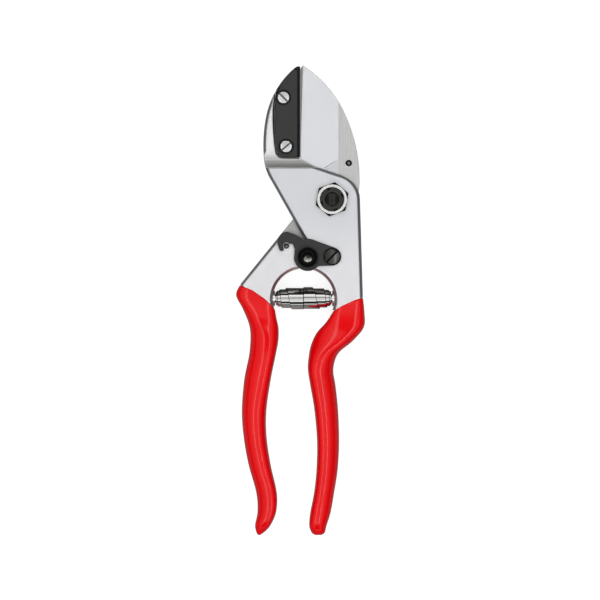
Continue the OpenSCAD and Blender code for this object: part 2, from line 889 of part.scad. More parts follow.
module catch_wave_washer() {
  color("silver")
    difference() {
      hole(catch_at, 3.8, top_z, catch_z - 0.05);
      hole(catch_at, catch_bush_r + 0.1, top_z - 1, catch_z);
    }
}

module catch_screw() {
  color("gray")
    translate([catch_at[0], catch_at[1], catch_z + catch_t])
      slotted_screw(catch_head_d / 2, catch_head_h, catch_shank_r, catch_z + catch_t - back_z - 3, 0.8, 45);
}

module catch_knob() {
  teeth = 24;
  root_r = knob_d / 2 - 0.6;
  color("black")
    translate([knob_at[0], knob_at[1], catch_z + catch_t])
      difference() {
        linear_extrude(knob_h)
          polygon([
            for (i = [0:4 * teeth - 1])
            let (r = i % 4 < 2 ? knob_d / 2 : root_r, a = 90 * i / teeth)
            [r * cos(a), r * sin(a)]
          ]);
        translate([0, 0, -1]) cylinder(r = rivet_r, h = knob_h + 2, $fn = 32);
        translate([0, 0, knob_h - 1.2]) cylinder(r = 2.4, h = 2, $fn = 48);
      }
}

module catch_knob_rivet() {
  color("gray")
    translate([knob_at[0], knob_at[1], catch_z]) {
      cylinder(r = rivet_r, h = catch_t + knob_h - 1.2, $fn = 48);
      translate([0, 0, catch_t + knob_h - 1.2])
        rotate_extrude($fn = 48)
          intersection() {
            translate([0, -2.4]) circle(r = 3.2, $fn = 64);
            square([2.1, 1]);
          }
    }
}

anvil_handle();
anvil_handle_grip();
anvil();
anvil_screw_upper();
anvil_screw_lower();
pivot_bolt();
pivot_nut();
nut_lock_ring();
thrust_washer();
pivot_bush();
blade_handle();
blade_handle_grip();
cutting_blade();
blade_pin();
latch_pin();
return_spring();
spring_seat_left();
spring_seat_right();
catch_lever();
catch_bush();
catch_screw();
catch_wave_washer();
catch_knob();
catch_knob_rivet();
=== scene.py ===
# Anvil pruning shears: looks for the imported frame.
import json
import math

import bmesh
import bpy
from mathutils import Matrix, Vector


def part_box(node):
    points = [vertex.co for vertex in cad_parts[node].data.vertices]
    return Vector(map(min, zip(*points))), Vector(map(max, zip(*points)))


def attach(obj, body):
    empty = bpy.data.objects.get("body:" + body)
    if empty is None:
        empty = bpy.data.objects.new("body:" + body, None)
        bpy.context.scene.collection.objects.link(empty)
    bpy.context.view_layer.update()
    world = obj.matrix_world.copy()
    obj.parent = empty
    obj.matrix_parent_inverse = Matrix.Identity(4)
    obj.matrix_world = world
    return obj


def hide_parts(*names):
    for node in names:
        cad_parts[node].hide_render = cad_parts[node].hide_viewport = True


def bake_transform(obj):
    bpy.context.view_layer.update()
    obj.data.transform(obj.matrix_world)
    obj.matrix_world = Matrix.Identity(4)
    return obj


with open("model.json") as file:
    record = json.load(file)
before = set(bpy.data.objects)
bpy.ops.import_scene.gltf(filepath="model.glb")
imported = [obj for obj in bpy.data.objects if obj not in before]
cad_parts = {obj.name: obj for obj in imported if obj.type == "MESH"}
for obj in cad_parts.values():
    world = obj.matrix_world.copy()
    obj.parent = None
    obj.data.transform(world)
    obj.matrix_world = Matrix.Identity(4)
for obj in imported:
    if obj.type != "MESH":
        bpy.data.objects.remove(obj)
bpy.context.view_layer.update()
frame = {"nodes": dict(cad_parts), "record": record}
mm = 0.001
print("frame loaded:", len(frame["nodes"]), "nodes")


def linearColor(hexText):
    channels = [int(hexText[i:i + 2], 16) / 255 for i in (1, 3, 5)]
    return tuple(c / 12.92 if c <= 0.04045 else ((c + 0.055) / 1.055) ** 2.4 for c in channels) + (1.0,)


def addNode(tree, kind, inputs=None, **settings):
    # an input given as a socket or a node is linked (a node by its first output), anything else is set
    node = tree.nodes.new(kind)
    for name, value in settings.items():
        setattr(node, name, value)
    for key, value in (inputs or {}).items():
        if isinstance(value, bpy.types.Node):
            value = value.outputs[0]
        if isinstance(value, bpy.types.NodeSocket):
            tree.links.new(value, node.inputs[key])
        else:
            node.inputs[key].default_value = value
    return node


def startMaterial(name):
    material = bpy.data.materials.new(name)
    material.use_nodes = True
    tree = material.node_tree
    tree.nodes.clear()
    return material, tree


# Camera, floor and light
stage = {
    "viewCentre": (-14.3, -44.9),  # middle of the view, mm from the pivot
    "viewWidth": 268.08,  # mm across the view
    "focus": 12.0,  # height above the floor that is shown at true scale, mm
    "lens": 400.0,
    "sensorWidth": 36.0,
    "clipEnd": 50000.0,
    "floorHalf": 8000.0,  # half the floor's width, mm
    "floorColor": "#B4B4B4",
    "floorLift": 0.8,  # extra white of the floor for the camera
    "floorMirrored": "#7C7C7C",  # the floor's paint as reflections show it
    "floorGloss": 0.04,  # its extra white there
    "skyShown": 0.95,  # the room as the camera sees it
    # brightness of the room: straight above; halfway down, beyond the tip and the grips; the same to
    # the left and right; and at the height of the object, with its left and right ends
    "zenith": 0.86,
    "shoulder": 1.25,
    "side": 0.52,
    "horizon": 0.12,
    "horizonLeft": 0.06,
    "horizonRight": 0.04,
    # where those levels begin and end, as the sine of the height or of the way to one side
    "wallRise": (0.12, 0.6),
    "crownRise": (0.85, 0.97),
    "sideEnd": 0.8,
    "aisle": 0.42,  # half width of the bright ceiling that runs along the object
    "aisleEdge": 0.2,
    "rightDark": 0.65,  # how much the right of the room is dimmed, and where
    "rightRise": (0.35, 0.8),
    # dark gaps between the ceiling panels: degrees up from overhead and half width
    "ceilingGaps": [(53.0, 13.0), (-49.0, 13.0), (6.0, 3.4)],
    "gapDark": 0.96,
    "gapReach": 0.25,  # the gaps end this far to the left and right
    "gapFade": 0.07,
    # long softboxes: inner edge, outer edge (mm to the right of the middle) and radiance of each
    "boxes": [(-500.0, -250.0, 2.0), (260.0, 390.0, 3.6)],
    "boxHeight": 2000.0,
    "boxLength": 2600.0,
    # a wide silk overhead that lifts matt colours and leaves no reflection
    "silkSize": 3000.0,
    "silkHeight": 1500.0,
    "silk": 0.8,
}


def makeFloor(look):
    half = look["floorHalf"] * mm
    floorMesh = bpy.data.meshes.new("studioFloor")
    corners = [(-half, -half, 0), (half, -half, 0), (half, half, 0), (-half, half, 0)]
    floorMesh.from_pydata(corners, [], [(0, 1, 2, 3)])
    floor = bpy.data.objects.new("studioFloor", floorMesh)
    bpy.context.scene.collection.objects.link(floor)
    material, tree = startMaterial("paintedStudioFloor")
    rays = addNode(tree, "ShaderNodeLightPath")
    mirrored = addNode(tree, "ShaderNodeMath", {
        0: rays.outputs["Is Glossy Ray"], 1: rays.outputs["Is Transmission Ray"]}, operation="MAXIMUM")
    tone = addNode(tree, "ShaderNodeMix", {
        0: mirrored, 6: linearColor(look["floorColor"]),
        7: linearColor(look["floorMirrored"])}, data_type="RGBA")
    paint = addNode(tree, "ShaderNodeBsdfDiffuse", {"Color": tone.outputs[2]})
    gloss = addNode(tree, "ShaderNodeMath", {0: mirrored, 1: look["floorGloss"]}, operation="MULTIPLY")
    strength = addNode(tree, "ShaderNodeMath", {
        0: rays.outputs["Is Camera Ray"], 1: look["floorLift"], 2: gloss}, operation="MULTIPLY_ADD")
    lift = addNode(tree, "ShaderNodeEmission", {"Strength": strength})
    both = addNode(tree, "ShaderNodeAddShader", {0: paint, 1: lift})
    addNode(tree, "ShaderNodeOutputMaterial", {"Surface": both})
    floorMesh.materials.append(material)


def makeRoom(look):
    # a pale ceiling that darkens towards the walls, most of all on the right
    world = bpy.data.worlds.new("studio")
    world.use_nodes = True
    bpy.context.scene.world = world
    tree = world.node_tree
    tree.nodes.clear()
    direction = addNode(tree, "ShaderNodeTexCoord").outputs["Generated"]
    across, along, up = addNode(tree, "ShaderNodeSeparateXYZ", {"Vector": direction}).outputs
    # the level by height: walls, shoulder, zenith
    left = addNode(tree, "ShaderNodeMapRange", {
        "Value": across, "From Min": -look["sideEnd"], "From Max": 0.0,
        "To Min": look["horizonLeft"], "To Max": look["horizon"]})
    right = addNode(tree, "ShaderNodeMapRange", {
        "Value": across, "From Min": 0.0, "From Max": look["sideEnd"],
        "To Min": left, "To Max": look["horizonRight"]})
    wallLow, wallHigh = look["wallRise"]
    height = addNode(tree, "ShaderNodeMapRange", {
        "Value": up, "From Min": wallLow, "From Max": wallHigh}, interpolation_type="SMOOTHSTEP")
    walls = addNode(tree, "ShaderNodeMix", {0: height, 2: right, 3: look["shoulder"]}, data_type="FLOAT")
    crownLow, crownHigh = look["crownRise"]
    crown = addNode(tree, "ShaderNodeMapRange", {
        "Value": up, "From Min": crownLow, "From Max": crownHigh}, interpolation_type="SMOOTHSTEP")
    sideways = addNode(tree, "ShaderNodeMath", {0: across}, operation="ABSOLUTE")
    aisle = addNode(tree, "ShaderNodeMapRange", {
        "Value": sideways, "From Min": look["aisle"] - look["aisleEdge"],
        "From Max": look["aisle"] + look["aisleEdge"],
        "To Min": 1.0, "To Max": look["side"] / look["shoulder"]}, interpolation_type="SMOOTHSTEP")
    shaped = addNode(tree, "ShaderNodeMath", {0: walls, 1: aisle}, operation="MULTIPLY")
    level = addNode(tree, "ShaderNodeMix", {0: crown, 2: shaped, 3: look["zenith"]}, data_type="FLOAT")
    # the gaps between the panels
    lean = addNode(tree, "ShaderNodeMath", {0: along, 1: up}, operation="ARCTAN2")
    over = addNode(tree, "ShaderNodeMapRange", {
        "Value": sideways, "From Min": look["gapReach"] - look["gapFade"],
        "From Max": look["gapReach"] + look["gapFade"],
        "To Min": 1.0, "To Max": 0.0}, interpolation_type="SMOOTHSTEP")
    for middle, half in look["ceilingGaps"]:
        strip = addNode(tree, "ShaderNodeMath", {
            0: lean, 1: math.radians(middle), 2: math.radians(half)}, operation="COMPARE")
        gap = addNode(tree, "ShaderNodeMath", {0: strip, 1: over}, operation="MULTIPLY")
        level = addNode(tree, "ShaderNodeMix", {
            0: gap, 2: level, 3: look["zenith"] * (1 - look["gapDark"])}, data_type="FLOAT")
    # the dimmed right
    dimFrom, dimTo = look["rightRise"]
    flag = addNode(tree, "ShaderNodeMapRange", {
        "Value": across, "From Min": dimFrom, "From Max": dimTo,
        "To Min": 1.0, "To Max": 1 - look["rightDark"]}, interpolation_type="SMOOTHSTEP")
    level = addNode(tree, "ShaderNodeMath", {0: level, 1: flag}, operation="MULTIPLY")
    rays = addNode(tree, "ShaderNodeLightPath")
    shown = addNode(tree, "ShaderNodeMix", {
        0: rays.outputs["Is Camera Ray"], 2: level, 3: look["skyShown"]}, data_type="FLOAT")
    sky = addNode(tree, "ShaderNodeBackground", {"Strength": shown})
    addNode(tree, "ShaderNodeOutputWorld", {"Surface": sky})


def addLamp(look, name, left, right, length, height, radiance):
    lamp = bpy.data.lights.new(name, "AREA")
    lamp.shape = "RECTANGLE"
    lamp.size = abs(right - left) * mm
    lamp.size_y = length * mm
    lamp.energy = radiance * math.pi * lamp.size * lamp.size_y
    panel = bpy.data.objects.new(name, lamp)
    x, y = look["viewCentre"]
    panel.location = ((x + (left + right) / 2) * mm, y * mm, height * mm)
    panel.visible_camera = False
    bpy.context.scene.collection.objects.link(panel)
    return panel


def makeStage(look):
    scene = bpy.context.scene
    cameraData = bpy.data.cameras.new("camera")
    cameraData.lens = look["lens"]
    cameraData.sensor_width = look["sensorWidth"]
    cameraData.clip_end = look["clipEnd"] * mm
    camera = bpy.data.objects.new("camera", cameraData)
    distance = look["viewWidth"] * look["lens"] / look["sensorWidth"]
    x, y = look["viewCentre"]
    camera.location = (x * mm, y * mm, (look["focus"] + distance) * mm)
    scene.collection.objects.link(camera)
    scene.camera = camera
    makeFloor(look)
    makeRoom(look)
    for inner, outer, radiance in look["boxes"]:
        addLamp(look, "softbox", inner, outer, look["boxLength"], look["boxHeight"], radiance)
    half = look["silkSize"] / 2
    silk = addLamp(look, "silk", -half, half, look["silkSize"], look["silkHeight"], look["silk"])
    silk.visible_glossy = False
    scene.view_settings.view_transform = "Standard"


makeStage(stage)
print("stage ready")


def boxOf(nodeName):
    low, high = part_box(nodeName)
    return Vector(low) / mm, Vector(high) / mm


# Forged aluminium, tumbled and bead blasted: an even satin face with soft edges, brighter where
# the jaw is ground, with painted shade low down, where the lap lies in shadow, and in the scoop at the
# jaw's foot
blastedAluminium = {
    "color": "#D1D2D5", "cloudy": "#C9CBCF", "cloud": 22.0,  # the tumbled face and its faint clouds, mm
    "polished": "#D8D8DA", "polishedFrom": -5.0, "polishedBelow": -30.0,  # hands rub it towards the grips
    # painted shade: a darker grey below this height, mm, where the lap lies in shadow beside the plate
    "forged": "#A09F9B", "forgedBelow": 9.0, "forgedFade": 1.5,
    "ground": "#E2E2E3", "groundDepth": (0.25, 0.05),  # the jaw's top and how far below it that ends
    # painted shade: a darker tint in the scoop at the jaw's foot, which lies in shade below the plate's
    # step; the face is rougher there too
    "scoop": "#D2D2CF", "scoopRoughness": 0.6, "scoopEdge": 0.35,
    "jawFrom": 14.1, "scoopEnd": 25.5, "jawDrop": 1.6,
    "roughness": 0.32, "unevenness": 0.05, "grain": 0.5, "bump": 0.15, "bumpDepth": 0.05,
    "edge": 1.1, "edgeSamples": 8,  # tumbled edges: the normal is averaged over this radius, mm
    "window": (-12.7, -44.6), "windowReach": 17.5, "windowEdge": 0.6,
}


def makeBlastedAluminium(look):
    material, tree = startMaterial("blastedAluminium")
    place = addNode(tree, "ShaderNodeTexCoord").outputs["Object"]
    top = boxOf("anvil_handle")[1].z - look["jawDrop"]
    across, along, up = addNode(tree, "ShaderNodeSeparateXYZ", {"Vector": place}).outputs
    cloud = addNode(tree, "ShaderNodeTexNoise", {
        "Vector": place, "Scale": 1000 / look["cloud"], "Detail": 3.0})
    grain = addNode(tree, "ShaderNodeTexNoise", {
        "Vector": place, "Scale": 1000 / look["grain"], "Detail": 2.0})
    tint = addNode(tree, "ShaderNodeMix", {
        0: cloud, 6: linearColor(look["color"]), 7: linearColor(look["cloudy"])}, data_type="RGBA")
    # rubbed bright by hands, then painted shade low down, where the lap lies in shadow
    handled = addNode(tree, "ShaderNodeMapRange", {
        "Value": along, "From Min": look["polishedFrom"] * mm,
        "From Max": look["polishedBelow"] * mm}, interpolation_type="SMOOTHSTEP")
    rubbed = addNode(tree, "ShaderNodeMix", {
        0: handled, 6: tint.outputs[2], 7: linearColor(look["polished"])}, data_type="RGBA")
    low = addNode(tree, "ShaderNodeMapRange", {
        "Value": up, "From Min": look["forgedBelow"] * mm,
        "From Max": (look["forgedBelow"] - look["forgedFade"]) * mm}, interpolation_type="SMOOTHSTEP")
    lowShaded = addNode(tree, "ShaderNodeMix", {
        0: low, 6: rubbed.outputs[2], 7: linearColor(look["forged"])}, data_type="RGBA")
    # the jaw's ground top
    jaw = addNode(tree, "ShaderNodeMath", {0: along, 1: look["jawFrom"] * mm}, operation="GREATER_THAN")
    deep, shallow = look["groundDepth"]
    faced = addNode(tree, "ShaderNodeMapRange", {
        "Value": up, "From Min": (top - deep) * mm, "From Max": (top - shallow) * mm})
    ground = addNode(tree, "ShaderNodeMath", {0: jaw, 1: faced}, operation="MULTIPLY")
    bright = addNode(tree, "ShaderNodeMix", {
        0: ground, 6: lowShaded.outputs[2], 7: linearColor(look["ground"])}, data_type="RGBA")
    # the scoop at its foot: painted shade in its colour, and a rougher face
    foot = addNode(tree, "ShaderNodeMapRange", {
        "Value": along, "From Min": look["jawFrom"] * mm, "From Max": look["scoopEnd"] * mm,
        "To Min": 1.0, "To Max": 0.0}, interpolation_type="SMOOTHSTEP")
    shade = addNode(tree, "ShaderNodeMath", {0: jaw, 1: foot}, operation="MULTIPLY")
    scooped = addNode(tree, "ShaderNodeMix", {
        0: shade, 6: bright.outputs[2], 7: linearColor(look["scoop"])}, data_type="RGBA")
    satin = addNode(tree, "ShaderNodeMapRange", {
        "Value": grain, "To Min": look["roughness"] - look["unevenness"],
        "To Max": look["roughness"] + look["unevenness"]})
    rough = addNode(tree, "ShaderNodeMix", {
        0: shade, 2: satin, 3: look["scoopRoughness"]}, data_type="FLOAT")
    # how far its edges are rounded: less in the window and in the scoop
    flat = addNode(tree, "ShaderNodeCombineXYZ", {"X": across, "Y": along})
    windowAt = (look["window"][0] * mm, look["window"][1] * mm, 0.0)
    fromWindow = addNode(tree, "ShaderNodeVectorMath", {0: flat, 1: windowAt}, operation="DISTANCE")
    nearWindow = addNode(tree, "ShaderNodeMath", {
        0: fromWindow.outputs["Value"], 1: look["windowReach"] * mm}, operation="LESS_THAN")
    edge = addNode(tree, "ShaderNodeMix", {
        0: nearWindow, 2: look["edge"] * mm, 3: look["windowEdge"] * mm}, data_type="FLOAT")
    radius = addNode(tree, "ShaderNodeMix", {
        0: shade, 2: edge, 3: look["scoopEdge"] * mm}, data_type="FLOAT")
    soft = addNode(tree, "ShaderNodeBevel", {"Radius": radius}, samples=look["edgeSamples"])
    blasted = addNode(tree, "ShaderNodeBump", {
        "Height": grain, "Strength": look["bump"], "Distance": look["bumpDepth"] * mm, "Normal": soft})
    metal = addNode(tree, "ShaderNodeBsdfPrincipled", {
        "Base Color": scooped.outputs[2], "Metallic": 1.0, "Roughness": rough, "Normal": blasted})
    addNode(tree, "ShaderNodeOutputMaterial", {"Surface": metal})
    return material


# Hardened blade steel, ground lengthwise: fine parallel scratches, and a duller rolled spine
groundSteel = {
    "ground": "#C7C9CC", "rolled": "#B9B9B8", "scratched": "#D2D2D1",
    "scratch": 0.45, "stretch": 50.0,  # width of a scratch, mm, and its length over its width
    "scratchFrom": 0.42, "scratchTo": 0.75, "groundLines": 0.15, "spineLines": 1.0, "strongest": 0.55,
    "grindX": 2.9, "softness": 0.5,  # where the grinding ends, mm to the right of the pivot
    "roughness": 0.3, "unevenness": 0.06, "bump": 0.25, "bumpDepth": 0.05, "edge": 0.4, "edgeSamples": 8,
}


def makeGroundSteel(look):
    material, tree = startMaterial("groundSteel")
    place = addNode(tree, "ShaderNodeTexCoord").outputs["Object"]
    stretched = addNode(tree, "ShaderNodeMapping", {
        "Vector": place, "Scale": (1.0, 1 / look["stretch"], 1.0)})
    scratch = addNode(tree, "ShaderNodeTexNoise", {
        "Vector": stretched, "Scale": 1000 / look["scratch"], "Detail": 3.0, "Roughness": 0.7})
    across = addNode(tree, "ShaderNodeSeparateXYZ", {"Vector": place}).outputs["X"]
    spine = addNode(tree, "ShaderNodeMapRange", {
        "Value": across, "From Min": (look["grindX"] - look["softness"]) * mm,
        "From Max": (look["grindX"] + look["softness"]) * mm}, interpolation_type="SMOOTHSTEP")
    tint = addNode(tree, "ShaderNodeMix", {
        0: spine, 6: linearColor(look["ground"]), 7: linearColor(look["rolled"])}, data_type="RGBA")
    fine = addNode(tree, "ShaderNodeMapRange", {
        "Value": scratch, "From Min": look["scratchFrom"], "From Max": look["scratchTo"],
        "To Max": look["strongest"]})
    deep = addNode(tree, "ShaderNodeMapRange", {
        "Value": spine, "To Min": look["groundLines"], "To Max": look["spineLines"]})
    drawn = addNode(tree, "ShaderNodeMath", {0: fine, 1: deep}, operation="MULTIPLY")
    lined = addNode(tree, "ShaderNodeMix", {
        0: drawn, 6: tint.outputs[2], 7: linearColor(look["scratched"])}, data_type="RGBA")
    rough = addNode(tree, "ShaderNodeMapRange", {
        "Value": scratch, "To Min": look["roughness"] - look["unevenness"],
        "To Max": look["roughness"] + look["unevenness"]})
    soft = addNode(tree, "ShaderNodeBevel", {"Radius": look["edge"] * mm}, samples=look["edgeSamples"])
    scored = addNode(tree, "ShaderNodeBump", {
        "Height": scratch, "Strength": look["bump"], "Distance": look["bumpDepth"] * mm, "Normal": soft})
    metal = addNode(tree, "ShaderNodeBsdfPrincipled", {
        "Base Color": lined.outputs[2], "Metallic": 1.0, "Roughness": rough, "Normal": scored})
    addNode(tree, "ShaderNodeOutputMaterial", {"Surface": metal})
    return material


# Turned steel in its finishes. A screw's head is crowned: its normals spread from the middle as on
# a ball of that radius, mm, from a crest that leans this far off the middle
nickelPlate = {"color": "#F6F6F4", "roughness": 0.2, "ripple": 1.6}  # nut face, washers: bright and soft
shadedNickel = {"color": "#4C4C4B", "roughness": 0.22, "ripple": 1.6}  # the nut's sides and chamfer: painted shade, a smoky grey for the dark they reflect
hardChrome = {"color": "#F0EFED", "roughness": 0.05, "ripple": 6.0}  # the spring: a clear mirror
# anvil screws: pale and even, with painted shade in their slots
anvilScrewPlate = {
    "color": "#DDDEE0", "roughness": 0.22, "ripple": 1.2, "crown": 60.0, "lean": (0, 0), "slot": "slotShade"}
# catch screw: dark on one side of its slot, lit on the other; the slot is painted black as shade
catchScrewSteel = {
    "color": "#545351", "roughness": 0.16, "ripple": 1.2, "crown": 15.0, "lean": (3, -3), "slot": "knob"}
# the knob's rivet: grey with one bright spot
rivetSteel = {"color": "#9A9994", "roughness": 0.2, "ripple": 1.2, "crown": 12.4, "lean": (0.8, -5.4)}
latchSteel = {"color": "#7B7A75", "roughness": 0.25, "ripple": 1.2}  # pins: plain oiled grey
# pivot bolt: a dark hollow
boltSteel = {"color": "#2B2B2A", "roughness": 0.2, "ripple": 1.2, "crown": -8.0, "lean": (0, 0)}
ringSteel = {"color": "#3C3C3B", "roughness": 0.25, "ripple": 0.9}  # lock ring: dark satin
# what a lathe leaves on all of them
turning = {"smoother": 0.03, "rougher": 0.04, "bump": 0.06, "bumpDepth": 0.05}


def makeTurnedSteel(look, name, nodeName=None):
    material, tree = startMaterial(name)
    place = addNode(tree, "ShaderNodeTexCoord").outputs["Object"]
    ripple = addNode(tree, "ShaderNodeTexNoise", {
        "Vector": place, "Scale": 1000 / look["ripple"], "Detail": 2.0})
    rough = addNode(tree, "ShaderNodeMapRange", {
        "Value": ripple, "To Min": look["roughness"] - turning["smoother"],
        "To Max": look["roughness"] + turning["rougher"]})
    rippled = {"Height": ripple, "Strength": turning["bump"], "Distance": turning["bumpDepth"] * mm}
    if nodeName is not None:
        low, high = boxOf(nodeName)
        crest = (low + high) / 2 + Vector((*look["lean"], 0))
        away = addNode(tree, "ShaderNodeVectorMath", {0: place, 1: crest * mm}, operation="SUBTRACT")
        flat = addNode(tree, "ShaderNodeVectorMath", {0: away, 1: (1.0, 1.0, 0.0)}, operation="MULTIPLY")
        square = addNode(tree, "ShaderNodeVectorMath", {0: flat, 1: flat}, operation="DOT_PRODUCT")
        height = addNode(tree, "ShaderNodeMath", {
            0: square.outputs["Value"], 1: -0.5 / (look["crown"] * mm)}, operation="MULTIPLY")
        rippled["Normal"] = addNode(tree, "ShaderNodeBump", {
            "Height": height, "Strength": 1.0, "Distance": 1.0})
    turned = addNode(tree, "ShaderNodeBump", rippled)
    metal = addNode(tree, "ShaderNodeBsdfPrincipled", {
        "Base Color": linearColor(look["color"]), "Metallic": 1.0, "Roughness": rough, "Normal": turned})
    addNode(tree, "ShaderNodeOutputMaterial", {"Surface": metal})
    return material


# Coatings: even satin black anodising on the anvil and catch; painted shade in glossy black on the spring's
# sheared edges; a deeper black on the knob, which also serves as painted shade in some slots and holes; and
# painted shade in flat grey at the bottoms of the anvil screws' slots
blackAnodised = {"color": "#0E0E0E", "rubbed": "#191919", "roughness": 0.42, "metallic": 0.0, "cloud": 7.0}
# painted shade: black on the spring strip's edges, for the shadow gaps and dark reflections along them
springEdgeShade = {"color": "#1C1C1C", "rubbed": "#2B2B2B", "roughness": 0.3, "metallic": 1.0, "cloud": 2.0}
# the knob's own black; the same material is painted shade in the catch screw's slot and round the blade
# pin's hole, and blackens the lock ring's sides
knobOxideAndShade = {"color": "#0E0E0E", "rubbed": "#1B1B1B", "roughness": 0.35, "metallic": 1.0, "cloud": 2.0}
# painted shade: a flat grey for the bottoms of the anvil screws' slots
slotShadeSteel = {"color": "#777773", "rubbed": "#8E8E89", "roughness": 0.6, "metallic": 1.0, "cloud": 1.0}
coating = {"grain": 0.5, "bump": 0.15, "bumpDepth": 0.04}  # the fine grain of all of them, mm


def makeBlackCoat(look, name):
    material, tree = startMaterial(name)
    place = addNode(tree, "ShaderNodeTexCoord").outputs["Object"]
    cloud = addNode(tree, "ShaderNodeTexNoise", {
        "Vector": place, "Scale": 1000 / look["cloud"], "Detail": 4.0})
    grain = addNode(tree, "ShaderNodeTexNoise", {
        "Vector": place, "Scale": 1000 / coating["grain"], "Detail": 1.0})
    tint = addNode(tree, "ShaderNodeMix", {
        0: cloud, 6: linearColor(look["color"]), 7: linearColor(look["rubbed"])}, data_type="RGBA")
    grained = addNode(tree, "ShaderNodeBump", {
        "Height": grain, "Strength": coating["bump"], "Distance": coating["bumpDepth"] * mm})
    coat = addNode(tree, "ShaderNodeBsdfPrincipled", {
        "Base Color": tint.outputs[2], "Metallic": look["metallic"], "Roughness": look["roughness"],
        "Normal": grained})
    addNode(tree, "ShaderNodeOutputMaterial", {"Surface": coat})
    return material


# PVC skin from a hot dip: thick, glossy and slightly wavy, with faint clouds of a deeper red
dippedVinyl = {
    "color": "#E8030A", "deep": "#DC050B", "cloud": 25.0, "roughness": 0.1, "ior": 1.4,
    "wave": 14.0, "bump": 0.03, "bumpDepth": 0.2,
}


def makeDippedVinyl(look):
    material, tree = startMaterial("dippedVinyl")
    place = addNode(tree, "ShaderNodeTexCoord").outputs["Object"]
    cloud = addNode(tree, "ShaderNodeTexNoise", {
        "Vector": place, "Scale": 1000 / look["cloud"], "Detail": 2.0})
    wave = addNode(tree, "ShaderNodeTexNoise", {
        "Vector": place, "Scale": 1000 / look["wave"], "Detail": 1.0})
    tint = addNode(tree, "ShaderNodeMix", {
        0: cloud, 6: linearColor(look["color"]), 7: linearColor(look["deep"])}, data_type="RGBA")
    waved = addNode(tree, "ShaderNodeBump", {
        "Height": wave, "Strength": look["bump"], "Distance": look["bumpDepth"] * mm})
    skin = addNode(tree, "ShaderNodeBsdfPrincipled", {
        "Base Color": tint.outputs[2], "Metallic": 0.0, "Roughness": look["roughness"], "IOR": look["ior"],
        "Normal": waved})
    addNode(tree, "ShaderNodeOutputMaterial", {"Surface": skin})
    return material


materials = {
    "aluminium": makeBlastedAluminium(blastedAluminium),
    "blade": makeGroundSteel(groundSteel),
    "nickel": makeTurnedSteel(nickelPlate, "nickelPlate"),
    "shadedNickel": makeTurnedSteel(shadedNickel, "shadedNickel"),
    "chrome": makeTurnedSteel(hardChrome, "hardChrome"),
    "rivet": makeTurnedSteel(rivetSteel, "rivetSteel", "catch_knob_rivet"),
    "latch": makeTurnedSteel(latchSteel, "latchSteel"),
    "ring": makeTurnedSteel(ringSteel, "ringSteel"),
    "bolt": makeTurnedSteel(boltSteel, "boltSteel", "pivot_bolt"),
    "anodised": makeBlackCoat(blackAnodised, "blackAnodised"),
    "edgeShade": makeBlackCoat(springEdgeShade, "springEdgeShade"),
    "knob": makeBlackCoat(knobOxideAndShade, "knobOxideAndShade"),
    "slotShade": makeBlackCoat(slotShadeSteel, "slotShadeSteel"),
    "vinyl": makeDippedVinyl(dippedVinyl),
}
print("materials ready:", len(materials))


def bodyOf(nodeName):
    for body, nodes in frame["record"]["behaviour"]["bodies"].items():
        if nodeName in nodes:
            return body
    return "root"


def newPiece(pieceName, mesh):
    piece = bpy.data.objects.new(pieceName, mesh)
    bpy.context.scene.collection.objects.link(piece)
    return piece


def finishPiece(piece, nodeName, material=None):
    if material is not None:
        piece.data.materials.clear()
        piece.data.materials.append(material)
    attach(piece, bodyOf(nodeName))
    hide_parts(nodeName)


def shadeBySharpness(mesh, sharpAngle):
    work = bmesh.new()
    work.from_mesh(mesh)
    for face in work.faces:
        face.smooth = True
    for edge in work.edges:
        edge.smooth = len(edge.link_faces) == 2 and edge.calc_face_angle(0) < math.radians(sharpAngle)
    work.to_mesh(mesh)
    work.free()


# Pieces that keep the frame's shape, with their edges eased
easing = {
    "mergeWithin": 0.002, "flatWithin": 0.5,  # vertices are merged, mm, and flat faces joined, degrees
    "segments": 3,
    "level": 0.99, "topWithin": 0.1,  # a face this level and this near the top, mm, counts as the faced top
}


def easeScoop(work, look):
    # the jaw arm rolls down into the scoop instead of breaking at a crease
    length = look["scoopTop"] - look["scoopFoot"]
    for vert in work.verts:
        _, y, z = vert.co / mm
        if not look["scoopFoot"] - look["footReach"] < y < look["scoopTop"]:
            continue
        bottom = look["scoopZ"] - math.sqrt(look["scoopRound"] ** 2 - (y - look["scoopFoot"]) ** 2)
        if abs(z - bottom) < look["onScoop"]:
            vert.co.z = (look["jawTop"] - look["scoopDepth"] * ((look["scoopTop"] - y) / length) ** 2) * mm


def easedCopy(nodeName, pieceName, look):
    mesh = bpy.data.meshes.new(pieceName)
    work = bmesh.new()
    work.from_mesh(frame["nodes"][nodeName].data)
    bmesh.ops.remove_doubles(work, verts=work.verts, dist=easing["mergeWithin"] * mm)
    flatWithin = math.radians(easing["flatWithin"])
    bmesh.ops.dissolve_limit(work, angle_limit=flatWithin, verts=work.verts, edges=work.edges)
    if "scoopDepth" in look:
        easeScoop(work, look)
    if "flatten" in look:  # the domed head is set almost flat
        foot = boxOf(nodeName)[1].z - look["dome"]
        for vert in work.verts:
            vert.co.z = min(vert.co.z, (foot + (vert.co.z / mm - foot) * look["flatten"]) * mm)
    work.to_mesh(mesh)
    work.free()
    piece = newPiece(pieceName, mesh)
    shadeBySharpness(mesh, look["sharp"])
    if look["ease"] > 0:
        ease = piece.modifiers.new("ease", "BEVEL")
        ease.width = look["ease"] * mm
        ease.segments = easing["segments"]
        ease.limit_method = "ANGLE"
        ease.angle_limit = math.radians(look["sharp"])
        ease.use_clamp_overlap = False
        ease.harden_normals = True
    else:
        weighted = piece.modifiers.new("weighted", "WEIGHTED_NORMAL")
        weighted.keep_sharp = True
    return piece


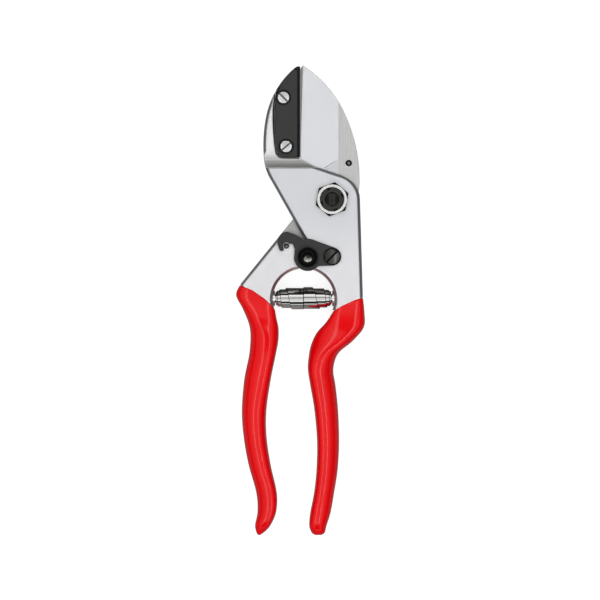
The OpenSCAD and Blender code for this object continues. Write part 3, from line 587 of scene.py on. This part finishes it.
# sharp: an edge turning more than this stays an edge (degrees); ease: its rounding (mm)
handleLook = {"sharp": 25, "ease": 0.0}
jawTop = boxOf("anvil_handle")[1].z - blastedAluminium["jawDrop"]
jawLook = {
    "sharp": 25, "ease": 0.0, "jawTop": jawTop,
    "scoopFoot": 14.5, "scoopTop": 21.43, "scoopDepth": 2.2,
    "scoopRound": 12.0, "scoopZ": jawTop + 9.8,  # the frame's round scoop, which is reshaped
    "footReach": 0.2, "onScoop": 0.03,
}
turnedLook = {"sharp": 30, "ease": 0.0}
easedPieces = {
    "anvil_handle": ("jawAndPlateForging", "aluminium", jawLook),
    "blade_handle": ("lapAndArmForging", "aluminium", handleLook),
    "cutting_blade": ("groundBlade", "blade", {"sharp": 3, "ease": 0.0}),
    "anvil": ("screwedAnvil", "anodised", {"sharp": 30, "ease": 0.2}),
    "catch_lever": ("catchLever", "anodised", turnedLook),
    "pivot_nut": ("hexNut", "nickel", {"sharp": 20, "ease": 0.12, "sides": "shadedNickel"}),
    "pivot_bolt": ("pivotBolt", "bolt", {"sharp": 30, "ease": 0.15}),
    "nut_lock_ring": ("notchedLockRing", "ring", {"sharp": 30, "ease": 0.0, "sides": "knob"}),
    "thrust_washer": ("thrustWasher", "nickel", turnedLook),
    "pivot_bush": ("pivotBush", "nickel", turnedLook),
    "blade_pin": ("bladePin", "latch", {"sharp": 30, "ease": 0.0, "sides": "knob"}),
    "spring_seat_left": ("springSeatLeft", "nickel", turnedLook),
    "spring_seat_right": ("springSeatRight", "nickel", turnedLook),
    "catch_bush": ("catchBush", "nickel", turnedLook),
    "catch_wave_washer": ("catchWaveWasher", "nickel", turnedLook),
    "catch_knob_rivet": ("knobRivet", "rivet", {"sharp": 30, "ease": 0.0, "dome": 0.8, "flatten": 0.1}),
}
for nodeName, (pieceName, materialName, look) in easedPieces.items():
    piece = easedCopy(nodeName, pieceName, look)
    finishPiece(piece, nodeName, materials[materialName])
    if "sides" in look:  # all but the faced top gets the second material: painted shade on the nut's sides and round the blade pin's hole, and black on the lock ring's sides
        piece.data.materials.append(materials[look["sides"]])
        top = boxOf(nodeName)[1].z
        for face in piece.data.polygons:
            faced = face.normal.z > easing["level"] and face.center.z / mm > top - easing["topWithin"]
            face.material_index = 0 if faced else 1
print("eased pieces ready:", len(easedPieces))

# Slotted screws: plated heads, with painted shade at the bottoms of their slots
screwLook = {
    "sharp": 30, "ease": 0.1,
    # a level face between these depths is the bottom of a slot, mm
    "slotFrom": 0.35, "slotTo": 0.95, "level": 0.9,
}
slottedScrews = {
    "anvil_screw_upper": ("anvilScrewUpper", anvilScrewPlate),
    "anvil_screw_lower": ("anvilScrewLower", anvilScrewPlate),
    "catch_screw": ("catchScrew", catchScrewSteel),
}
for nodeName, (pieceName, steel) in slottedScrews.items():
    piece = easedCopy(nodeName, pieceName, screwLook)
    piece.data.materials.append(makeTurnedSteel(steel, pieceName + "Steel", nodeName))
    piece.data.materials.append(materials[steel["slot"]])
    top = boxOf(nodeName)[1].z
    for face in piece.data.polygons:
        depth = top - face.center.z / mm
        if screwLook["slotFrom"] < depth < screwLook["slotTo"] and face.normal.z > screwLook["level"]:
            face.material_index = 1
    finishPiece(piece, nodeName)
print("slotted screws ready:", len(slottedScrews))

# Latch pin: a domed grey head
latchLook = {"dome": 0.55, "rings": 8, "sides": 40, "sharp": 40}


def makeLatchPin(look):
    low, high = boxOf("latch_pin")
    middle = (low + high) / 2
    radius = (high.x - low.x) / 2
    profile = [(radius, low.z), (radius, high.z - look["dome"])]
    for i in range(1, look["rings"]):
        angle = math.pi / 2 * i / look["rings"]
        profile.append((radius * math.cos(angle), high.z - look["dome"] * (1 - math.sin(angle))))
    turn = [2 * math.pi * k / look["sides"] for k in range(look["sides"])]
    work = bmesh.new()
    rings = []
    for r, z in profile:
        circle = [(middle.x + r * math.cos(t), middle.y + r * math.sin(t), z) for t in turn]
        rings.append([work.verts.new((x * mm, y * mm, z * mm)) for x, y, z in circle])
    for a, b in zip(rings, rings[1:]):
        for k in range(look["sides"]):
            n = (k + 1) % look["sides"]
            work.faces.new((a[k], a[n], b[n], b[k]))
    work.faces.new(list(reversed(rings[0])))
    work.faces.new(rings[-1])
    mesh = bpy.data.meshes.new("latchPin")
    work.to_mesh(mesh)
    work.free()
    shadeBySharpness(mesh, look["sharp"])
    finishPiece(newPiece("latchPin", mesh), "latch_pin", materials["latch"])


makeLatchPin(latchLook)
print("latch pin ready")

# Return spring: one strip wound as two opposed volutes
springLook = {
    "turns": 4, "ringsPerTurn": 48, "startAngle": -60.0,
    "strip": 0.45, "stripWidth": 9.0,  # thickness and width of the strip, mm
    "endDiameter": 5.4, "swell": 1.05,  # the small ends, mm, and the middle against the frame's spring
    # the middle band, mm, and the share of a turn in which the strip crosses it
    "bandHalf": 2.6, "bandGap": -0.05, "crossing": 0.12,
    "wind": 1.15,  # how soon the later turns crowd together
    "edge": 0.22, "edgeDrop": 0.14,  # the sheared edges' bevel, mm
    "seated": 0.6,  # how much of each end rests in its seat, mm
    "sharp": 30,
}


def makeSpring(look):
    low, high = boxOf("return_spring")
    middle = (low + high) / 2
    half = (high.x - low.x) / 2
    diameter = (high.z - low.z) * look["swell"]
    work = bmesh.new()
    rings = []
    last = look["turns"] * look["ringsPerTurn"]
    for i in range(-last, last + 1):
        t = i / look["ringsPerTurn"]
        s = abs(t)
        spread = (1 - math.exp(-s / look["wind"])) / (1 - math.exp(-look["turns"] / look["wind"]))
        outer = look["bandHalf"] + (half - look["bandHalf"]) * spread
        if s < look["crossing"]:
            inner = -look["bandHalf"] + (look["bandHalf"] + look["bandGap"]) * s / look["crossing"]
        else:
            inner = max(look["bandGap"], outer - look["stripWidth"])
        r = (diameter - (diameter - look["endDiameter"]) * s / look["turns"]) / 2
        x0, x1 = (-outer, -inner) if t < 0 else (inner, outer)
        edge, drop, back = look["edge"], look["edgeDrop"], r - look["strip"]
        corners = [(x0 + edge, r), (x1 - edge, r), (x1, r - drop), (x1, back), (x0, back), (x0, r - drop)]
        angle = math.radians(360 * t + look["startAngle"])
        turned = [Vector((x, q * math.cos(angle), q * math.sin(angle))) for x, q in corners]
        rings.append([work.verts.new((middle + p) * mm) for p in turned])
    for a, b in zip(rings, rings[1:]):
        for k in range(len(a)):
            n = (k + 1) % len(a)
            side = work.faces.new((a[k], b[k], b[n], a[n]))
            side.material_index = 1 if k in (1, 2, 4, 5) else 0  # painted shade: the sheared edges are black for the shadow gaps and dark reflections along them
    work.faces.new(rings[0])
    work.faces.new(list(reversed(rings[-1])))
    bmesh.ops.recalc_face_normals(work, faces=work.faces)
    mesh = bpy.data.meshes.new("voluteSpring")
    work.to_mesh(mesh)
    work.free()
    shadeBySharpness(mesh, look["sharp"])
    mesh.materials.append(materials["chrome"])
    mesh.materials.append(materials["edgeShade"])
    spring = newPiece("voluteSpring", mesh)
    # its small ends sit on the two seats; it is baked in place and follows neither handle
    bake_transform(spring)
    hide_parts("return_spring")


makeSpring(springLook)
print("spring ready")

# Knurled knob: a rim with pointed teeth round it and a sunk floor
knobLook = {
    "teeth": 26, "toothWidth": 0.5, "toothReach": 1.7, "toothTop": 1.0, "toothSides": 4,
    "rimWidth": 1.55, "rimSides": 96, "floorDrop": 1.2, "floorSides": 48, "sharp": 30,
}


def makeKnobTree(material):
    tree = bpy.data.node_groups.new("knurledKnob", "GeometryNodeTree")
    tree.interface.new_socket("Geometry", in_out="OUTPUT", socket_type="NodeSocketGeometry")
    for name in ("Teeth", "Tooth Sides", "Rim Sides", "Floor Sides"):
        tree.interface.new_socket(name, in_out="INPUT", socket_type="NodeSocketInt")
    for name in ("Radius", "Height", "Tooth Width", "Tooth Reach", "Tooth Top", "Rim Width", "Floor Drop"):
        tree.interface.new_socket(name, in_out="INPUT", socket_type="NodeSocketFloat")
    tree.interface.new_socket("Centre", in_out="INPUT", socket_type="NodeSocketVector")
    given = addNode(tree, "NodeGroupInput").outputs
    reach = addNode(tree, "ShaderNodeMath", {
        0: given["Tooth Width"], 1: given["Tooth Reach"]}, operation="MULTIPLY")
    root = addNode(tree, "ShaderNodeMath", {0: given["Radius"], 1: reach}, operation="SUBTRACT")
    halfRim = addNode(tree, "ShaderNodeMath", {0: given["Rim Width"], 1: 0.5}, operation="MULTIPLY")
    rimRadius = addNode(tree, "ShaderNodeMath", {0: root, 1: halfRim}, operation="SUBTRACT")
    # the rim: a square section carried round a circle
    ring = addNode(tree, "GeometryNodeCurvePrimitiveCircle", {
        "Resolution": given["Rim Sides"], "Radius": rimRadius})
    section = addNode(tree, "GeometryNodeCurvePrimitiveQuadrilateral", {
        "Width": given["Rim Width"], "Height": given["Height"]})
    rim = addNode(tree, "GeometryNodeCurveToMesh", {"Curve": ring, "Profile Curve": section})
    # the floor inside the rim
    depth = addNode(tree, "ShaderNodeMath", {
        0: given["Height"], 1: given["Floor Drop"]}, operation="SUBTRACT")
    disc = addNode(tree, "GeometryNodeMeshCylinder", {
        "Vertices": given["Floor Sides"], "Depth": depth, "Radius": rimRadius})
    sink = addNode(tree, "ShaderNodeMath", {0: given["Floor Drop"], 1: -0.5}, operation="MULTIPLY")
    sunk = addNode(tree, "ShaderNodeCombineXYZ", {"Z": sink})
    floor = addNode(tree, "GeometryNodeTransform", {"Geometry": disc, "Translation": sunk})
    # one pointed tooth, set round the rim
    tip = addNode(tree, "ShaderNodeMath", {
        0: given["Tooth Width"], 1: given["Tooth Top"]}, operation="MULTIPLY")
    point = addNode(tree, "GeometryNodeMeshCone", {
        "Vertices": given["Tooth Sides"], "Radius Top": tip, "Radius Bottom": given["Tooth Width"],
        "Depth": given["Height"]})
    lower = addNode(tree, "ShaderNodeMath", {0: given["Height"], 1: -0.5}, operation="MULTIPLY")
    lowered = addNode(tree, "ShaderNodeCombineXYZ", {"Z": lower})
    stretch = addNode(tree, "ShaderNodeCombineXYZ", {"X": given["Tooth Reach"], "Y": 1.0, "Z": 1.0})
    tooth = addNode(tree, "GeometryNodeTransform", {
        "Geometry": point, "Translation": lowered, "Scale": stretch})
    places = addNode(tree, "GeometryNodeMeshCircle", {"Vertices": given["Teeth"], "Radius": root})
    position = addNode(tree, "GeometryNodeInputPosition")
    facing = addNode(tree, "FunctionNodeAlignRotationToVector", {"Vector": position}, axis="X")
    teeth = addNode(tree, "GeometryNodeInstanceOnPoints", {
        "Points": places, "Instance": tooth, "Rotation": facing})
    joined = addNode(tree, "GeometryNodeJoinGeometry")
    for part in (rim, floor, teeth):
        tree.links.new(part.outputs[0], joined.inputs[0])
    moved = addNode(tree, "GeometryNodeTransform", {"Geometry": joined, "Translation": given["Centre"]})
    real = addNode(tree, "GeometryNodeRealizeInstances", {"Geometry": moved})
    done = addNode(tree, "GeometryNodeSetMaterial", {"Geometry": real, "Material": material})
    addNode(tree, "NodeGroupOutput", {"Geometry": done})
    return tree


def meshFromTree(name, tree, values):
    holder = newPiece(name + "Holder", bpy.data.meshes.new(name + "Holder"))
    modifier = holder.modifiers.new("nodes", "NODES")
    modifier.node_group = tree
    for item in tree.interface.items_tree:
        if item.item_type == "SOCKET" and item.in_out == "INPUT":
            modifier[item.identifier] = values[item.name]
    bpy.context.view_layer.update()
    mesh = bpy.data.meshes.new_from_object(holder.evaluated_get(bpy.context.evaluated_depsgraph_get()))
    bpy.data.objects.remove(holder)
    mesh.name = name
    work = bmesh.new()
    work.from_mesh(mesh)
    bmesh.ops.recalc_face_normals(work, faces=work.faces)
    work.to_mesh(mesh)
    work.free()
    return mesh


def makeKnob(look):
    low, high = boxOf("catch_knob")
    mesh = meshFromTree("knurledKnob", makeKnobTree(materials["knob"]), {
        "Teeth": look["teeth"], "Tooth Sides": look["toothSides"],
        "Rim Sides": look["rimSides"], "Floor Sides": look["floorSides"],
        "Radius": (high.x - low.x) / 2 * mm, "Height": (high.z - low.z) * mm,
        "Tooth Width": look["toothWidth"] * mm, "Tooth Reach": look["toothReach"],
        "Tooth Top": look["toothTop"], "Rim Width": look["rimWidth"] * mm,
        "Floor Drop": look["floorDrop"] * mm, "Centre": (low + high) / 2 * mm})
    shadeBySharpness(mesh, look["sharp"])
    finishPiece(newPiece("knurledKnob", mesh), "catch_knob")


makeKnob(knobLook)
print("knob ready:", knobLook["teeth"], "teeth")

# Dipped grips: rings lofted down each handle, mm
gripTop = -44.0
gripEnd = -150.0
# Each station: share of the length, left x, right x, rise of the right side, depth share, lean of the crest
leftGrip = {
    "node": "blade_handle_grip", "name": "leftGrip",
    # the skin climbs the arm by the bow, most of all at this share of its half width
    "bow": 2.2, "bowAt": 0.25, "bowFade": 14.0,
    "stations": [
        (0.00, -41.0, -25.8, -12.2, 0.89, 0.05), (0.04, -42.9, -24.9, -11.0, 0.90, 0.10),
        (0.09, -39.7, -23.9, -8.5, 0.90, 0.18), (0.155, -36.7, -24.0, -5.5, 0.96, 0.25),
        (0.24, -36.9, -25.4, -2.5, 1.00, 0.30), (0.34, -39.2, -27.3, 0.0, 1.00, 0.30),
        (0.47, -40.3, -29.3, 0.0, 1.00, 0.18), (0.58, -39.6, -29.3, 0.0, 0.97, 0.16),
        (0.70, -37.4, -27.5, 0.0, 0.92, 0.20), (0.82, -33.9, -24.7, 0.0, 0.84, 0.28),
        (0.90, -33.3, -24.9, 0.0, 0.74, 0.28), (0.955, -34.4, -27.1, 0.5, 0.58, 0.20),
        (0.985, -33.8, -29.3, 1.0, 0.34, 0.10), (1.00, -33.0, -32.0, 0.0, 0.12, 0.0)],
}
rightGrip = {
    "node": "anvil_handle_grip", "name": "rightGrip",
    "bow": 0.8, "bowAt": 0.0, "bowFade": 10.0,
    "stations": [
        (0.025, 0.9, 13.8, 5.8, 0.87, 0.05), (0.08, -2.6, 14.5, 4.6, 0.88, 0.15),
        (0.135, -6.9, 14.3, 2.6, 0.91, 0.25), (0.19, -9.4, 9.3, 1.8, 0.97, 0.15),
        (0.24, -10.4, 2.8, 1.2, 1.00, -0.05), (0.30, -10.8, 0.6, 0.0, 1.00, -0.22),
        (0.37, -9.7, 1.6, 0.0, 1.00, -0.25), (0.47, -7.9, 2.7, 0.0, 1.00, -0.25),
        (0.60, -6.7, 3.2, 0.0, 0.97, -0.25), (0.72, -6.9, 2.6, 0.0, 0.92, -0.25),
        (0.82, -8.0, 1.0, 0.0, 0.86, -0.22), (0.905, -9.7, -0.6, 0.0, 0.76, -0.18),
        (0.96, -10.2, -2.4, 0.0, 0.62, -0.10), (0.99, -9.1, -3.2, 0.0, 0.40, 0.0),
        (1.00, -7.6, -4.7, 0.0, 0.20, 0.0)],
}
gripLook = {
    "depth": 17.0, "sides": 56, "steps": 7, "sharp": 70,
    "squareness": 2.8, "mouthSquareness": 6.0, "squareFade": 18.0,  # squarer this near the mouth
    "bowFall": 0.8,  # how fast the bow drops to both sides
    # the mouth's rolled lip: distance down the grip and how far it is drawn in, mm
    "lip": [(0.0, 1.0), (0.05, 0.55), (0.25, 0.2), (0.6, 0.04)],
}


def smoothStations(stations, steps):
    result = []
    last = len(stations) - 1
    for i in range(last):
        a, b, c, d = [Vector(stations[min(max(i + k, 0), last)]) for k in (-1, 0, 1, 2)]
        for k in range(steps):
            t = k / steps
            result.append((2 * b + (c - a) * t + (2 * a - 5 * b + 4 * c - d) * t * t
                           + (3 * b - a - 3 * c + d) * t * t * t) / 2)
    return result + [Vector(stations[last])]


def gripRing(station, grip, look, drawnIn=0.0):
    share, leftX, rightX, rise, depthShare, lean = station
    y = gripTop + (gripEnd - gripTop) * share
    a, b = Vector((leftX, y - rise / 2)), Vector((rightX, y + rise / 2))
    middle, half = (a + b) / 2, (b - a) / 2
    half = half * (1 - drawnIn / half.length)
    deep = look["depth"] * depthShare / 2 - drawnIn
    down = (share - grip["stations"][0][0]) * (gripTop - gripEnd)
    nearMouth = max(0.0, 1 - down / look["squareFade"]) ** 2
    squareness = look["squareness"] + (look["mouthSquareness"] - look["squareness"]) * nearMouth
    ring = []
    for i in range(look["sides"]):
        angle = 2 * math.pi * (i + 0.5) / look["sides"]
        u, v = math.cos(angle), math.sin(angle)
        across = math.copysign(abs(u) ** (2 / squareness), u)
        height = math.copysign(abs(v) ** (2 / squareness), v)
        across += lean * (1 - across * across)
        spot = middle + half * across
        climb = grip["bow"] * max(0.0, 1 - look["bowFall"] * (across - grip["bowAt"]) ** 2)
        climb *= max(0.0, 1 - down / grip["bowFade"]) ** 2
        ring.append(Vector((spot.x, spot.y, look["depth"] / 2 + deep * height)) - grip["down"] * climb)
    return ring


def makeGrip(grip, look):
    stations = smoothStations(grip["stations"], look["steps"])
    grip["down"] = Vector((0, 0, 0))
    onward = gripRing(stations[2], grip, look)
    mouth = gripRing(stations[0], grip, look)
    grip["down"] = (sum(onward, Vector()) - sum(mouth, Vector())).normalized()
    rings = []
    for away, drawnIn in look["lip"]:
        rings.append([p + grip["down"] * away for p in gripRing(stations[0], grip, look, drawnIn)])
    rings += [gripRing(station, grip, look) for station in stations[1:]]
    work = bmesh.new()
    grid = [[work.verts.new(p * mm) for p in ring] for ring in rings]
    for a, b in zip(grid, grid[1:]):
        for k in range(look["sides"]):
            n = (k + 1) % look["sides"]
            work.faces.new((a[k], b[k], b[n], a[n]))
    for ring in (grid[0], grid[-1]):
        centre = work.verts.new(sum((v.co for v in ring), Vector()) / len(ring))
        for k in range(look["sides"]):
            work.faces.new((ring[k], ring[(k + 1) % look["sides"]], centre))
    bmesh.ops.recalc_face_normals(work, faces=work.faces)
    mesh = bpy.data.meshes.new(grip["name"])
    work.to_mesh(mesh)
    work.free()
    shadeBySharpness(mesh, look["sharp"])
    finishPiece(newPiece(grip["name"], mesh), grip["node"], materials["vinyl"])


for grip in (leftGrip, rightGrip):
    makeGrip(grip, gripLook)
print("grips ready")
